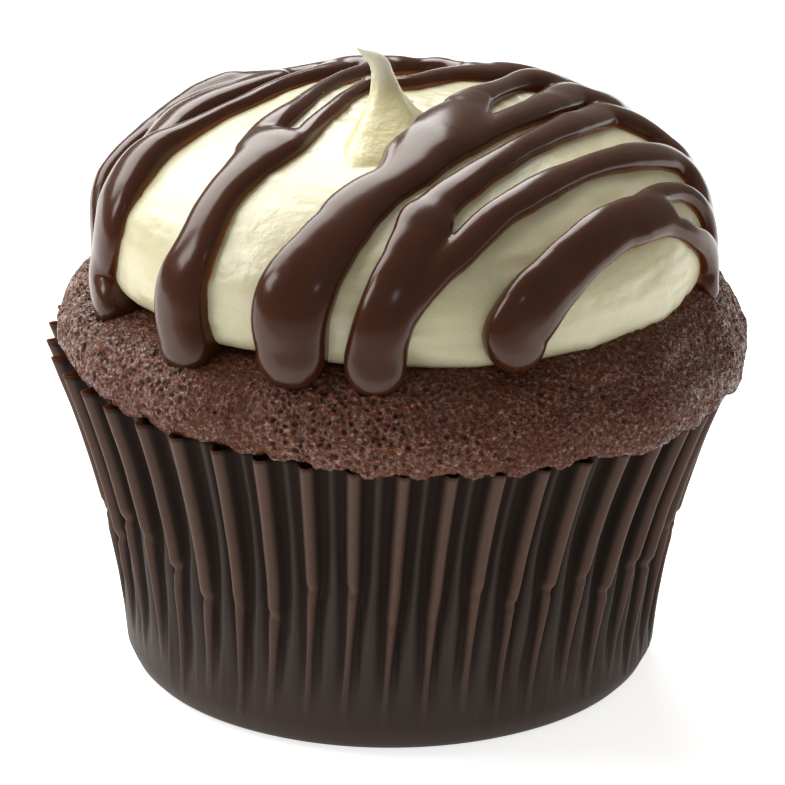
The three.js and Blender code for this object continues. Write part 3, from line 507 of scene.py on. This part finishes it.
def build_case():
    outer_f = np.concatenate([np.linspace(0.08, 0.42, 16)[:-1], np.linspace(0.42, 0.62, 22)[:-1], np.linspace(0.62, 1, 22)])
    # the two masks returned are painted light for the ridge tops and painted shade for the groove walls
    P, ridge, wall_shade = case_surface(outer_f)
    n = P.shape[1]
    # rounding from the wall to the flat base
    first = P[0]
    ring0 = first.copy()
    rings, marks = [], []
    for t in np.linspace(0, np.pi / 2, 6)[:-1]:
        z = 2.5 - 2.5 * np.cos(t)
        rr = 22.9 + 2.45 * np.sin(t)
        q = first.copy()
        l = np.hypot(first[:, 0], first[:, 1])
        w = 1.0
        q[:, 0] = first[:, 0] / l * rr
        q[:, 1] = first[:, 1] / l * rr
        q[:, 2] = z * w
        rings.append(q)
        marks.append(ridge[0] * 0 + 0.16)
    P = np.concatenate([np.array(rings), P])
    ridge = np.concatenate([np.array(marks), ridge])
    # the rounding to the base carries the same painted shade as the bottom band
    wall_shade = np.concatenate([np.full((len(marks), n), 0.28), wall_shade])
    inner_f = np.linspace(1, 0.80, 10)
    Q, _, _ = case_surface(inner_f, 0.13)
    rows = P.shape[0]
    allp = np.concatenate([P, Q])
    ridge_lit_all = np.concatenate([ridge, np.ones((Q.shape[0], n))])
    faces = grid_faces(allp.shape[0], n)
    faces = faces.tolist()
    verts = allp.reshape(-1, 3)
    verts = np.vstack([verts, [[0, 0, 0.0]]])
    c = len(verts) - 1
    faces += [[c, (i + 1) % n, i] for i in range(n)]
    o = make("paper_case_pleated", verts, faces, [paper_material(False), paper_material(True)], attrs={"ridge": np.append(ridge_lit_all.ravel(), 0.16), "wall_shade": np.append(np.concatenate([wall_shade, np.zeros((Q.shape[0], n))]).ravel(), 0.0)})
    idx = np.zeros(len(faces), dtype=np.int32)
    idx[rows * n: (allp.shape[0] - 1) * n] = 1
    o.data.polygons.foreach_set("material_index", idx)
    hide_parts("paper_case")
    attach(o, "root")
    return o


# ------------------------------------------------------------------ cake
CAKE_COLS = 1560


def cake_points():
    cols = CAKE_COLS
    a = np.linspace(0, 2 * np.pi, cols, endpoint=False)
    sx, sy = np.sin(a), -np.cos(a)
    ctrl_r = np.array([24.0, 27.0, 28.8, 30.5, 31.8, 32.45, 32.65, 32.6, 32.35, 31.9, 31.2, 30.2, 29.6])
    ctrl_z = np.array([40.2, 39.7, 39.05, 37.85, 36.2, 35.0, 34.0, 33.0, 32.05, 31.5, 31.25, 30.6, 27.5])
    # smooth curve through the control points
    t = np.arange(len(ctrl_r))
    tt = np.linspace(0, len(t) - 1, 600)

    def cr(c):
        i = np.clip(tt.astype(int), 0, len(c) - 2)
        f = tt - i
        p0, p1, p2, p3 = c[np.maximum(i - 1, 0)], c[i], c[i + 1], c[np.minimum(i + 2, len(c) - 1)]
        return 0.5 * (2 * p1 + (p2 - p0) * f + (2 * p0 - 5 * p1 + 4 * p2 - p3) * f * f + (3 * p1 - p0 - 3 * p2 + p3) * f ** 3)
    r0, z0 = cr(ctrl_r), cr(ctrl_z)
    s = np.r_[0, np.cumsum(np.hypot(np.diff(r0), np.diff(z0)))]
    e = s[-1]
    q = np.concatenate([np.arange(0, 2.4, 0.4), np.arange(2.4, e - 4.2, 0.128), np.arange(e - 4.2, e - 3.0, 0.2), np.arange(e - 3.0, e, 0.7)])
    r, z = np.interp(q, s, r0), np.interp(q, s, z0)
    R = r[:, None] * np.ones(cols)[None, :]
    X = CAKE_C[0] + R * sx[None, :]
    Y = CAKE_C[1] + R * sy[None, :]
    # below the widest ring the lip follows the rim of the case; the top leans the other way
    rim = rim_z(X) - 0.1
    low = sstep(34.0, 31.4, z)[:, None]
    tilt = LEAN * (1 - 2.2 * sstep(36.5, 39.6, z))[:, None]
    Z = z[:, None] + tilt * (X - DOME_C[0]) * (1 - low) + (rim - 31.3) * low
    # inside the case it keeps clear of the paper
    inside = sstep(31.6, 30.9, z)[:, None]
    ang = np.arctan2(X, -Y)
    lim = 30.0 - 1.2 * sstep(31, 27, z)[:, None]
    rad = np.hypot(X, Y)
    k = np.where(inside > 0, 1 - inside + inside * np.minimum(lim / rad, 1), 1)
    X, Y = X * k, Y * k
    return np.stack([X, Y, Z], -1), z, ang


def build_cake():
    P, z, ang = cake_points()
    N = normals_of(P)
    N = N * np.sign(N[5, 0, 2])
    rows, cols = P.shape[:2]
    flat = P.reshape(-1, 3)
    one = np.ones(cols)[None, :]
    seen = (sstep(30.6, 31.4, z))[:, None] * one
    warp = np.stack([vnoise(flat / 1.1, 401), vnoise(flat / 1.1 + 9.0, 402), vnoise(flat / 1.1 + 19.0, 403)], -1)
    cell, _, cid = worley(flat / 0.62 + warp * 0.35, 11)
    cell2, _, cid2 = worley(flat / 0.40 + warp * 0.3 + 7.0, 15)
    foam2 = sstep(0.1, 0.7, cell2)
    # rougher to the left, where the crust is open; denser to the right, where the colour is also painted darker as
    # shade
    open_ = sstep(-0.5, 0.6, fbm(flat / 7.5 + 2.0, 2, 19) - flat[:, 0] / 30.0)
    keep = np.maximum(0.22 + 0.78 * sstep(0.45, 0.95, cid), 0.85 * open_)
    foam = 1 - (1 - sstep(0.10, 0.58, cell + 0.18 * (cid - 0.5))) * keep
    g1, _, gid = worley(flat / 1.45 + warp * 0.25 + 5.1, 21)
    rad = 0.09 + 0.13 * gid
    pit = sstep(1.1, 0.4, g1 / rad) * (gid > 0.70)
    lump = fbm(flat / 6.5, 3, 51)
    mid = fbm(flat / 1.9, 3, 61)
    fine = vnoise(flat / 0.34, 71)
    crack_a = fbm(flat / np.array([5.0, 5.0, 7.0]) + 2.2, 3, 81)
    crack = sstep(0.03, 0.0, np.abs(crack_a)) * sstep(0.15, 0.5, fbm(flat / 9 + 4.0, 2, 91))
    d = 0.30 * lump + 0.15 * mid + (0.12 + 0.22 * open_) * (foam - 0.7) + 0.12 * (foam2 - 0.5) + 0.08 * fine - 0.24 * pit - 0.25 * crack
    # the lower edge of the lip is ragged and dips between the pleats
    lowb = (sstep(33.2, 31.8, z) * sstep(30.9, 31.3, z))[:, None] * one
    d = d.reshape(rows, cols)
    V = P + N * (d * (0.15 + 0.85 * seen))[..., None]
    circ = np.stack([np.sin(ang), np.cos(ang), ang * 0], -1)
    wav = np.cos((ang - PLEAT_START) * PLEATS) * 0.22 + 0.32 * fbm(circ * 12, 2, 101) + 0.22 * fbm(circ * 42, 2, 102)
    V[..., 2] += lowb * wav * 0.8
    # painted shade: the foam cells, pits and cracks cut into the surface are also painted dark
    pit_shade = np.clip(0.85 * (1 - foam) * (0.30 + 0.70 * open_) + 0.5 * pit + 0.7 * crack + 0.35 * (1 - foam2), 0, 1)
    low = (sstep(33.3, 31.5, z))[:, None] * one
    pit_shade, low, op = pit_shade.reshape(rows, cols), low, open_.reshape(rows, cols)
    mat = cake_material()
    half = cols // 2
    for name, c0 in (("cake_crumb_front", -half // 2), ("cake_crumb_back", half - half // 2)):
        idx = np.arange(c0, c0 + half + 1) % cols
        faces = grid_faces(rows, half + 1, wrap=False, flip=True)
        o = make(name, V[:, idx].reshape(-1, 3), faces, mat, attrs={"pit": pit_shade[:, idx].ravel(), "low": low[:, idx].ravel(), "open": op[:, idx].ravel()})
        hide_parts("cake")
        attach(o, "root")
        print(name, "triangles", 2 * len(faces))


# ------------------------------------------------------------------ frosting
def frost_height(p):
    """relief of the spread frosting, mm"""
    swirl = fbm(p / np.array([9.0, 9.0, 6.0]), 2, 201)
    # faint level ridges left by the knife round the side, and curved ones over the top
    ang = np.arctan2(p[:, 0] - DOME_C[0], -p[:, 1])
    rad = np.hypot(p[:, 0] - DOME_C[0], p[:, 1])
    side = sstep(54.0, 50.0, p[:, 2])
    level = np.stack([np.sin(ang) * 3.2, np.cos(ang) * 3.2, p[:, 2] * 1.15 + 0.6 * np.sin(ang * 3)], -1)
    s1 = vnoise(level * np.array([1, 1, 0.8]), 211) + 0.6 * vnoise(level * np.array([2.4, 2.4, 1.9]), 212)
    top = np.stack([np.sin(ang) * 2.5 + rad * 0.02, np.cos(ang) * 2.5, rad * 0.75 + ang * 0.8], -1)
    s2 = vnoise(top, 221) + 0.5 * vnoise(top * np.array([2.0, 2.0, 2.3]), 222)
    streak = s1 * side + s2 * (1 - side)
    small = fbm(p / 1.5, 2, 231)
    patchy = sstep(-0.1, 0.5, fbm(p / 6.0 + 3.0, 2, 235))
    b1, _, bid = worley(p / 2.6 + 1.7, 241)
    r0 = 0.06 + 0.08 * bid
    bubble = sstep(1.0, 0.2, b1 / r0) * (bid > 0.55)
    return 0.17 * swirl + 0.10 * streak * (0.35 + 0.65 * patchy) + 0.036 * small * (0.25 + 0.75 * patchy) - 0.16 * bubble


def build_frosting():
    r, z = dome_profile()
    rr = np.r_[r, 28.42, 28.25, 27.9, 27.35, 26.8, 25.5]
    zz = np.r_[z, 41.9, 41.05, 40.35, 39.85, 39.65, 39.7]
    s, r, z = resample(rr, zz, 0.32)
    r, z = r[1:], z[1:]
    cols = 540
    a = np.linspace(0, 2 * np.pi, cols, endpoint=False)
    X = DOME_C[0] + r[:, None] * np.sin(a)[None, :]
    Y = DOME_C[1] - r[:, None] * np.cos(a)[None, :]
    Z = z[:, None] + lean(X)
    P = np.stack([X, Y, Z], -1)
    N = normals_of(P)
    N = N * np.sign(N[5, 0, 2])
    h = frost_height(P.reshape(-1, 3)).reshape(P.shape[:2])
    fade = sstep(0, 3, r)[:, None]
    V = P + N * (h * fade)[..., None]
    # the lower edge bulges and draws in unevenly where it meets the cake
    edge = sstep(42.5, 40.4, z)[:, None]
    wob = 0.35 * fbm(np.stack([np.sin(a) * 5, np.cos(a) * 5, a * 0], -1), 3, 251)
    V[..., 0] += (edge * wob[None, :]) * np.sin(a)[None, :]
    V[..., 1] -= (edge * wob[None, :]) * np.cos(a)[None, :]
    # the peak: flat sections from the foot to the neck, then a hook to the left
    sec = np.array([
        # z, x left, x right, y front, y back
        (52.6, -4.9, 0.4, -13.4, -2.0), (53.8, -5.05, 0.55, -13.7, -1.2), (54.45, -4.95, 0.8, -13.45, -0.5), (54.95, -4.75, 1.8, -12.75, 0.2),
        (55.4, -4.5, 3.2, -11.95, 0.6), (55.75, -4.22, 3.5, -11.3, 0.2), (56.1, -3.93, 3.1, -10.65, -0.4), (56.6, -3.48, 2.6, -9.7, -1.1),
        (57.4, -2.8, 1.95, -8.1, -1.7), (58.2, -2.22, 1.36, -6.8, -2.0), (59.0, -1.93, 0.93, -5.8, -2.2), (59.8, -1.75, 0.56, -5.15, -2.4),
        (60.45, -1.76, 0.26, -4.8, -2.5)])
    t = np.arange(len(sec))
    tt = np.linspace(0, len(sec) - 1, 70)
    S = np.stack([np.interp(tt, t, sec[:, k]) for k in range(5)], -1)
    for _ in range(3):
        S[1:-1] = 0.25 * S[:-2] + 0.5 * S[1:-1] + 0.25 * S[2:]
    m = 72
    b = np.linspace(0, 2 * np.pi, m, endpoint=False)
    foot = np.full(V.shape[:2], -99.0)
    near = np.hypot(V[..., 0], V[..., 1]) < 17
    fx, fy = V[near][:, 0], V[near][:, 1]
    got = np.full(len(fx), -99.0)
    before = None
    for q in range(len(S)):
        zc, xl, xr, yf, yb = S[q]
        if zc < 53.7 or zc > 57.7:
            continue
        ex = 0.72 + 0.28 * float(sstep(57.0, 60.2, zc))
        dx = (fx - (xl + xr) / 2) / ((xr - xl) / 2)
        ahead = np.clip(0.5 + 0.5 * ((yf + yb) / 2 - fy) / ((yb - yf) / 2), 0, 1)
        dx = np.where(dx < 0, dx / (0.45 + 0.55 * ahead), dx)
        g = np.abs(dx) ** (2 / ex) + np.abs((fy - (yf + yb) / 2) / ((yb - yf) / 2)) ** (2 / (ex * ex))
        if before is not None:
            out = (before[0] <= 1) & (g > 1)
            w = (1 - before[0]) / np.maximum(g - before[0], 1e-9)
            got = np.where(out, before[1] + w * (zc - before[1]), got)
        before = (g, zc)
    got = np.where(before[0] <= 1, before[1], got)
    foot[near] = got
    own = V[..., 2].copy()
    # from 56 mm up the wall of the peak takes over from the foot, and the two part very slowly
    target = foot - 0.3 * (np.clip(foot - 56.0, 0, 1.4) / 1.4) ** 2 - 5.0 * np.clip(foot - 56.5, 0, 1)
    k = 0.22
    hh = np.maximum(k - np.abs(own - target), 0) / k
    V[..., 2] = np.where(foot > 0, np.maximum(own, target) + hh * hh * k * 0.25, own)
    # painted shade mark for the foot of the peak
    foot_shade = np.where(foot > 0, sstep(-0.12, 0.04, foot - own), 0) * 0.95
    verts = V.reshape(-1, 3)
    faces = grid_faces(P.shape[0], cols, flip=True).tolist()
    tip = np.array([[DOME_C[0], DOME_C[1], DOME_Z + DOME_H]])
    c = len(verts)
    faces += [[c, (i), (i + 1) % cols] for i in range(cols)]
    verts = np.vstack([verts, tip])
    peak_shade_attr = np.append(foot_shade.ravel(), 0.0)

    rings = []
    S = S[S[:, 0] > 56.0]
    for zc, xl, xr, yf, yb in S:
        cx, rx, cy, ry = (xl + xr) / 2, (xr - xl) / 2, (yf + yb) / 2, (yb - yf) / 2
        ex = 0.72 + 0.28 * float(sstep(57.0, 60.2, zc))
        sb = np.sign(np.sin(b)) * np.abs(np.sin(b)) ** ex
        cb = np.sign(np.cos(b)) * np.abs(np.cos(b)) ** (ex * ex)
        narrow = 0.45 + 0.55 * (0.5 + 0.5 * cb)
        sb = np.where(sb < 0, sb * (narrow + (1 - narrow) * float(sstep(57.0, 60.2, zc))), sb)
        rings.append(np.stack([cx + rx * sb, cy - ry * cb, np.full(m, zc)], -1))
    hook = [(-0.92, 60.95, 0.96, 1.0, 16), (-1.1, 61.3, 0.88, 0.9, 30), (-1.45, 61.68, 0.74, 0.74, 44), (-1.9, 62.0, 0.57, 0.56, 54), (-2.35, 62.24, 0.40, 0.40, 58), (-2.75, 62.46, 0.24, 0.26, 58), (-3.05, 62.66, 0.12, 0.14, 55), (-3.15, 62.74, 0.04, 0.05, 55)]
    hk = np.array([(-0.75, 60.45, 1.01, 1.15, 0)] + hook)
    ht = np.linspace(0, len(hk) - 1, 40)[1:]
    H = np.stack([np.interp(ht, np.arange(len(hk)), hk[:, k]) for k in range(5)], -1)
    for x, zc, w, d, tilt in H:
        cs, sn = math.cos(math.radians(tilt)), math.sin(math.radians(tilt))
        rings.append(np.stack([x + w * np.sin(b) * cs, -3.62 - d * np.cos(b), zc + w * np.sin(b) * sn], -1))
    K = np.array(rings)
    KN = normals_of(K)
    KN *= np.sign((KN[20, 0] * np.array([0, -1, 0])).sum())
    sunk = 0.2 * (np.clip(56.5 - K[..., 2], 0, 1.2) / 1.2) ** 2
    kh = 0.045 * fbm(K.reshape(-1, 3) / np.array([2.4, 2.4, 4.5]), 3, 261).reshape(K.shape[:2])
    size = np.concatenate([(S[:, 2] - S[:, 1]) / 2, H[:, 2]])
    K = K + KN * (kh * sstep(0.2, 2.0, size)[:, None] * sstep(56.7, 57.8, K[..., 2]) - sunk)[..., None]
    base = len(verts)
    verts = np.vstack([verts, K.reshape(-1, 3), [K[-1].mean(0)]])
    pf = grid_faces(K.shape[0], m) + base
    faces += pf.tolist()
    last = base + (K.shape[0] - 1) * m
    faces += [[last + i, last + (i + 1) % m, len(verts) - 1] for i in range(m)]
    # painted shade on the rings of the peak, strongest low down
    peak_ring_shade = (0.95 - 0.75 * sstep(57.2, 61.0, K[..., 2])).ravel()
    # painted light, rising toward the tip of the peak
    tip_light_attr = np.concatenate([np.zeros(len(peak_shade_attr)), sstep(59.0, 61.6, K[..., 2]).ravel(), [1.0]])
    peak_shade_attr = np.concatenate([peak_shade_attr, peak_ring_shade, [0.2]])
    o = make("frosting_swirl", verts, faces, frosting_material(), attrs={"peak_shade": peak_shade_attr, "tip": tip_light_attr})
    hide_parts("frosting")
    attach(o, "root")
    return o


# ------------------------------------------------------------------ chocolate
def centre_line(points, step=0.2):
    P = np.array(points, float)
    Q = np.vstack([2 * P[0] - P[1], P, 2 * P[-1] - P[-2]])
    out = []
    for i in range(len(P) - 1):
        p0, p1, p2, p3 = Q[i:i + 4]
        n = max(2, int(np.ceil(np.hypot(*(p2 - p1)[:2]) / step)))
        t = (np.arange(n) / n)[:, None]
        out.append(0.5 * ((2 * p1) + (-p0 + p2) * t + (2 * p0 - 5 * p1 + 4 * p2 - p3) * t * t + (-p0 + 3 * p1 - 3 * p2 + p3) * t ** 3))
    out.append(P[-1:])
    return np.vstack(out)


def surface_nets(phi):
    """vertices (grid units) and quads of the surface phi = 0, phi > 0 inside"""
    s = phi > 0
    nx, ny, nz = (d - 1 for d in phi.shape)
    acc = np.zeros((nx, ny, nz, 3))
    cnt = np.zeros((nx, ny, nz))
    for axis in range(3):
        for o1 in (0, 1):
            for o2 in (0, 1):
                off = [0, 0, 0]
                other = [k for k in range(3) if k != axis]
                off[other[0]], off[other[1]] = o1, o2
                a = phi[off[0]:off[0] + nx, off[1]:off[1] + ny, off[2]:off[2] + nz]
                off2 = list(off)
                off2[axis] += 1
                c = phi[off2[0]:off2[0] + nx, off2[1]:off2[1] + ny, off2[2]:off2[2] + nz]
                cross = (a > 0) != (c > 0)
                t = np.where(cross, a / np.where(np.abs(a - c) < 1e-12, 1, a - c), 0)
                p = [np.full_like(t, float(v)) for v in off]
                p[axis] = t
                for k in range(3):
                    acc[..., k] += np.where(cross, p[k], 0)
                cnt += cross
    use = cnt > 0
    vid = np.full(use.shape, -1, dtype=np.int64)
    vid[use] = np.arange(use.sum())
    idx = np.argwhere(use)
    verts = acc[use] / cnt[use][:, None] + idx
    quads = []
    for axis in range(3):
        sl0 = [slice(None)] * 3
        sl1 = [slice(None)] * 3
        sl0[axis] = slice(0, -1)
        sl1[axis] = slice(1, None)
        e = s[tuple(sl0)] != s[tuple(sl1)]
        ins = s[tuple(sl0)]
        o = [k for k in range(3) if k != axis]
        ii = np.argwhere(e)
        ok = (ii[:, o[0]] > 0) & (ii[:, o[1]] > 0) & (ii[:, o[0]] < phi.shape[o[0]] - 1) & (ii[:, o[1]] < phi.shape[o[1]] - 1)
        ii = ii[ok]
        direction = ins[tuple(ii.T)]

        def cell(d1, d2):
            c = ii.copy()
            c[:, o[0]] -= d1
            c[:, o[1]] -= d2
            return vid[tuple(c.T)]
        q = np.stack([cell(1, 1), cell(0, 1), cell(0, 0), cell(1, 0)], -1)
        flip = direction if axis != 1 else ~direction
        q = np.where(flip[:, None], q, q[:, ::-1])
        quads.append(q)
    return verts, np.vstack(quads)


DRIPS = {2, 5, 6, 10, 12, 14, 17, 18, 19, 20, 21, 22, 23}
FAT_DRIPS = {5, 6, 10, 12}


def build_chocolate():
    dt, t_lo, t_hi = 0.2, -1.65, 3.35
    half, n = 44.0, 327
    ax = np.linspace(-half, half, n)
    step = ax[1] - ax[0]
    ts = np.arange(t_lo, t_hi, dt)
    phi = np.full((n, n, len(ts)), -3.0)
    for si, line in enumerate(STRANDS):
        if si in DRIPS:
            # the end of a drip hangs a little further down than the point where it was measured
            a = np.array(line[-1][:2])
            line = line + [tuple(a + a / np.hypot(*a) * 0.75) + (line[-1][2] * 0.97,)]
        L = centre_line(line)
        reach = L[:, 2].max() / 2 + 1.6
        i0, i1 = np.searchsorted(ax, [L[:, 0].min() - reach * 1.3, L[:, 0].max() + reach * 1.3])
        j0, j1 = np.searchsorted(ax, [L[:, 1].min() - reach * 1.3, L[:, 1].max() + reach * 1.3])
        U, V = np.meshgrid(ax[i0:i1], ax[j0:j1], indexing="ij")
        best = np.full(U.shape, 99.0)
        wid = np.full(U.shape, 3.0)
        along = np.linspace(0, 1, len(L))
        arc = np.r_[0, np.cumsum(np.hypot(*np.diff(L[:, :2], axis=0).T))]
        wvar = 1 + 0.05 * vnoise(np.stack([arc / 4.0, arc * 0 + si * 3.1, arc * 0], -1), 301)
        hvar = 1 + 0.10 * vnoise(np.stack([arc / 5.0, arc * 0 + si * 7.7, arc * 0], -1), 311)
        hgt = np.full(U.shape, 1.6)
        end = arc[-1] - arc
        rise = 0.45 * sstep(6, 14, L[:, 1]) * sstep(4, 12, L[:, 0])
        if si == 0:
            rise = np.interp(L[:, 0], [-35, -34.2, -32.3, -30.1, -28, -26, -24.5, -23.2, -21.7, -20.1, -18.5, -16.9, -15.4, -13.9],
                             [0.1, 0.2, 0.4, 0.6, 0.45, 0.2, 0.15, 0.3, 0.55, 0.95, 1.0, 0.85, 0.3, 0.0])
        elif si != 1:
            rise = rise + 0.5 * sstep(-17, -24, L[:, 0]) * sstep(-9, -2, L[:, 1])
        drip = (1.0 if si in FAT_DRIPS else 0.45) * sstep(10.5, 1.5, end) if si in DRIPS else end * 0
        for k in range(len(L)):
            cu, cv, w = L[k]
            w = w * wvar[k]
            s = math.hypot(cu, cv)
            g = float(np.interp(s, LS, LR)) / s if s > 1 else 1.0
            a0, a1 = np.searchsorted(ax[i0:i1], [cu - reach * 1.25, cu + reach * 1.25])
            b0, b1 = np.searchsorted(ax[j0:j1], [cv - reach * 1.25, cv + reach * 1.25])
            du = U[a0:a1, b0:b1] - cu
            dv = V[a0:a1, b0:b1] - cv
            if s > 1:
                eu, ev = cu / s, cv / s
                rad = du * eu + dv * ev
                tan = (-du * ev + dv * eu) * g
                d = np.hypot(rad, tan)
            else:
                d = np.hypot(du, dv)
            ratio = d / (w / 2)
            cur = best[a0:a1, b0:b1]
            better = ratio < cur
            best[a0:a1, b0:b1] = np.where(better, ratio, cur)
            wid[a0:a1, b0:b1] = np.where(better, w, wid[a0:a1, b0:b1])
            hgt[a0:a1, b0:b1] = np.where(better, (0.98 + 0.12 * w + drip[k] + rise[k]) * hvar[k], hgt[a0:a1, b0:b1])
        p = 2.2
        for k, t in enumerate(ts):
            t0, h = 0.25 * hgt, 0.75 * hgt
            zz = np.maximum((t - t0) / h, 0) + np.maximum(t0 - t, 0) * 0.12
            rho = np.maximum((best ** p + zz ** p) ** (1 / p), 1e-3)
            slope = np.hypot((best / rho) ** (p - 1) / (wid / 2), (zz / rho) ** (p - 1) / h)
            f = (1 - rho) / np.maximum(slope, 0.2)
            cur = phi[i0:i1, j0:j1, k]
            kk = 0.5
            hh = np.maximum(kk - np.abs(cur - f), 0) / kk
            phi[i0:i1, j0:j1, k] = np.maximum(cur, f) + hh * hh * kk * 0.25
    phi = np.maximum(phi, -3.0)
    verts, quads = surface_nets(phi)
    u = -half + verts[:, 0] * step
    v = -half + verts[:, 1] * step
    t = t_lo + verts[:, 2] * dt
    # relax the net a little
    nb = np.vstack([quads[:, [0, 1]], quads[:, [1, 2]], quads[:, [2, 3]], quads[:, [3, 0]]])
    pts = np.stack([u, v, t], -1)
    deg = np.bincount(nb.ravel(), minlength=len(pts))[:, None]
    for it in range(5):
        acc = np.zeros_like(pts)
        for c in range(3):
            acc[:, c] = np.bincount(nb[:, 0], weights=pts[nb[:, 1], c], minlength=len(pts)) + np.bincount(nb[:, 1], weights=pts[nb[:, 0], c], minlength=len(pts))
        lap = acc / np.maximum(deg, 1) - pts
        pts = pts + (0.5 if it % 2 == 0 else -0.3) * lap
    keep = pts[:, 2] > np.where(np.hypot(pts[:, 0], pts[:, 1]) > 34.5, t_lo + 0.16, -0.5)
    good = keep[quads].all(1)
    quads = quads[good]
    used = np.unique(quads)
    remap = np.full(len(pts), -1)
    remap[used] = np.arange(len(used))
    quads = remap[quads]
    pts = pts[used]
    X = over(pts[:, 0], pts[:, 1], pts[:, 2])
    o = make("chocolate_strands", X, quads, chocolate_material(), attrs={"thick": np.clip(np.maximum(pts[:, 2] / 2.2, 0.6 * sstep(35.5, 37.5, np.hypot(pts[:, 0], pts[:, 1]))), 0, 1)})
    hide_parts("chocolate_drizzle")
    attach(o, "root")
    print("chocolate faces", len(quads))
    return o


# ------------------------------------------------------------------ stage
def build_stage():
    m, nt, b = new_material("floor_white")
    co = position(nt)
    n = noise(nt, co, 0.01, 2, 0.5)
    col = ramp(nt, [(0.3, (0.86, 0.86, 0.86)), (0.7, (0.88, 0.88, 0.88))], n)
    b.inputs["Roughness"].default_value = 0.9
    b.inputs["Emission Color"].default_value = (1, 1, 1, 1)
    sep = nt.nodes.new("ShaderNodeSeparateXYZ")
    nt.links.new(co, sep.inputs[0])
    # painted light: the floor glows, brightest toward the back and fading to almost nothing at the front
    near = math_node(nt, "MULTIPLY", math_node(nt, "ADD", sep.outputs[1], 124.0), 1 / 44.0)
    glow = ramp(nt, [(0.0, (0.06, 0.06, 0.06)), (1.0, (0.76, 0.76, 0.76))], near)
    nt.links.new(glow.outputs[0], b.inputs["Emission Strength"])
    # painted shade: the floor in front of the frame is painted a little darker, as light falling off toward the front
    front_shade = ramp(nt, [(0.0, (0.66, 0.66, 0.66)), (1.0, (1, 1, 1))], near)
    both = mix(nt, front_shade.outputs[0], (0.0, 0.0, 0.0), col.outputs[0])
    nt.links.new(both, b.inputs["Base Color"])
    s = 3000.0
    floor = make("floor", [(-s, -s, 0), (s, -s, 0), (s, s, 0), (-s, s, 0)], [[0, 1, 2, 3]], m, smooth=False)

    def area(name, loc, target, size, watts, color=(1, 1, 1)):
        d = bpy.data.lights.new(name, "AREA")
        d.shape = "RECTANGLE"
        d.size, d.size_y = size
        d.energy = watts
        d.color = color
        o = bpy.data.objects.new(name, d)
        bpy.context.scene.collection.objects.link(o)
        o.location = loc
        o.rotation_euler = (Vector(target) - Vector(loc)).to_track_quat("-Z", "Y").to_euler()
        return o
    c = (0, 0, 0.035)
    area("key_back_left", (-0.60, 1.05, 1.15), c, (1.9, 1.2), 42.0, (1.0, 0.992, 0.975))
    area("side_left", (-1.0, -0.05, 0.80), c, (0.40, 0.5), 4.7, (1.0, 0.985, 0.96))
    area("glint_front", (0.12, -0.62, 0.62), c, (0.05, 0.09), 0.16, (0.6, 0.75, 1.0))
    w = bpy.data.worlds.new("studio")
    bpy.context.scene.world = w
    w.use_nodes = True
    bg = w.node_tree.nodes.get("Background")
    bg.inputs[0].default_value = (1.0, 0.955, 0.86, 1)
    bg.inputs[1].default_value = 0.28


def build_camera():
    cam = bpy.data.cameras.new("camera")
    o = bpy.data.objects.new("camera", cam)
    bpy.context.scene.collection.objects.link(o)
    cam.sensor_width = 36.0
    cam.sensor_fit = "HORIZONTAL"
    cam.lens = 6032.75 / 785.0 * 36.0
    cam.clip_start, cam.clip_end = 0.05, 20.0
    o.location = (0.0, -0.53899, 0.23997)
    target = Vector((0.0002345, 0.0, 0.026712))
    o.rotation_euler = (target - o.location).to_track_quat("-Z", "Y").to_euler()
    bpy.context.scene.camera = o


bpy.context.scene.view_settings.view_transform = "Standard"
bpy.context.scene.view_settings.look = "None"

build_case()
build_cake()
build_frosting()
build_chocolate()
build_stage()
build_camera()
